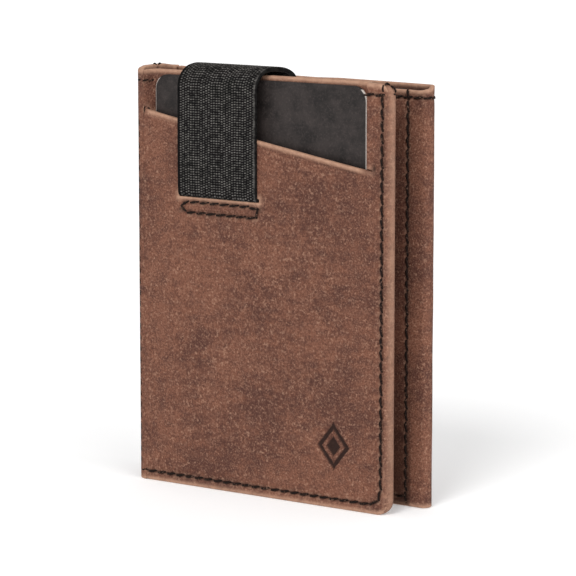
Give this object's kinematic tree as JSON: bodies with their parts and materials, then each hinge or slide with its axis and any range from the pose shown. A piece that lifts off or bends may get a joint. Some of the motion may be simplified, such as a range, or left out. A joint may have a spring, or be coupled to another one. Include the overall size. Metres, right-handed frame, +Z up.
{
  "type": "bifold wallet with pull band",
  "caption": "Slim upright leather wallet that opens like a book, with a slanted card slit, an elastic pull band over the top and a note pocket in the back half.",
  "frame": {"origin": "middle of the footprint on the surface the wallet stands on", "axes": "+Z up along the wallet's height, +X to the right along the front cover away from the spine, +Y from the front cover to the rear cover"},
  "size_m": [0.0678, 0.0148, 0.0918],
  "materials": {
    "cover_leather": "oiled, matt, mottled",
    "inner_leather": "matt",
    "lining_fabric": "plain weave",
    "seam_thread": "waxed thread",
    "elastic_webbing": "ribbed elastic",
    "card_dark": "satin",
    "card_pale": "satin",
    "note_paper": "uncoated paper"
  },
  "bodies": {
    "back_half": {"back_hide": "cover_leather", "note_pocket_lining": "lining_fabric", "note_pocket_bottom_strip": "inner_leather", "note_pocket_spine_strip": "inner_leather", "fold_seam": "seam_thread", "back_top_seam": "seam_thread", "back_bottom_seam": "seam_thread"},
    "notes": {"folded_notes": "note_paper"},
    "spine": {"spine_leather": "cover_leather", "spine_lining": "lining_fabric", "spine_side_seam": "seam_thread"},
    "front_half": {"front_cover": "cover_leather", "front_pocket_lining": "lining_fabric", "inner_base_panel": "inner_leather", "inner_pocket_panel": "inner_leather", "front_edge_seam": "seam_thread", "box_stitch": "seam_thread", "band_anchor": "elastic_webbing"},
    "pull_band": {"band_front_run": "elastic_webbing", "band_arch": "elastic_webbing", "band_rear_run": "elastic_webbing", "band_cradle": "elastic_webbing"},
    "front_card_body": {"front_card": "card_dark"},
    "pull_card_1_body": {"pull_card_1": "card_pale"},
    "pull_card_2_body": {"pull_card_2": "card_pale"}
  },
  "joints": [
    {"name": "rear_bend", "type": "hinge", "parent": "back_half", "child": "spine", "pos_m": [-0.03356, 0.00705, 0], "axis": [0, 0, -1], "range_deg": [0, 90]},
    {"name": "front_bend", "type": "hinge", "parent": "spine", "child": "front_half", "pos_m": [-0.03356, -0.00585, 0], "axis": [0, 0, -1], "range_deg": [0, 90]},
    {"name": "band_pull", "type": "slide", "parent": "front_half", "child": "pull_band", "axis": [0, 0, 1], "range_m": [0, 0.02], "stiffness_N_per_m": 80, "deforming": ["band_front_run"]},
    {"name": "front_card_slide", "type": "slide", "parent": "front_half", "child": "front_card_body", "axis": [0, 0, 1], "range_m": [0, 0.02]},
    {"name": "pull_card_1_slide", "type": "slide", "parent": "front_half", "child": "pull_card_1_body", "axis": [0, 0, 1], "range_m": [0, 0.02]},
    {"name": "pull_card_2_slide", "type": "slide", "parent": "front_half", "child": "pull_card_2_body", "axis": [0, 0, 1], "range_m": [0, 0.02]},
    {"name": "notes_slide", "type": "slide", "parent": "back_half", "child": "notes", "axis": [0, 0, 1], "range_m": [0, 0.03]}
  ],
  "couplings": [
    {"joint": "front_bend", "follows": "rear_bend", "ratio": 1},
    {"joint": "front_card_slide", "follows": "band_pull", "ratio": 1},
    {"joint": "pull_card_1_slide", "follows": "band_pull", "ratio": 1},
    {"joint": "pull_card_2_slide", "follows": "band_pull", "ratio": 1}
  ]
}
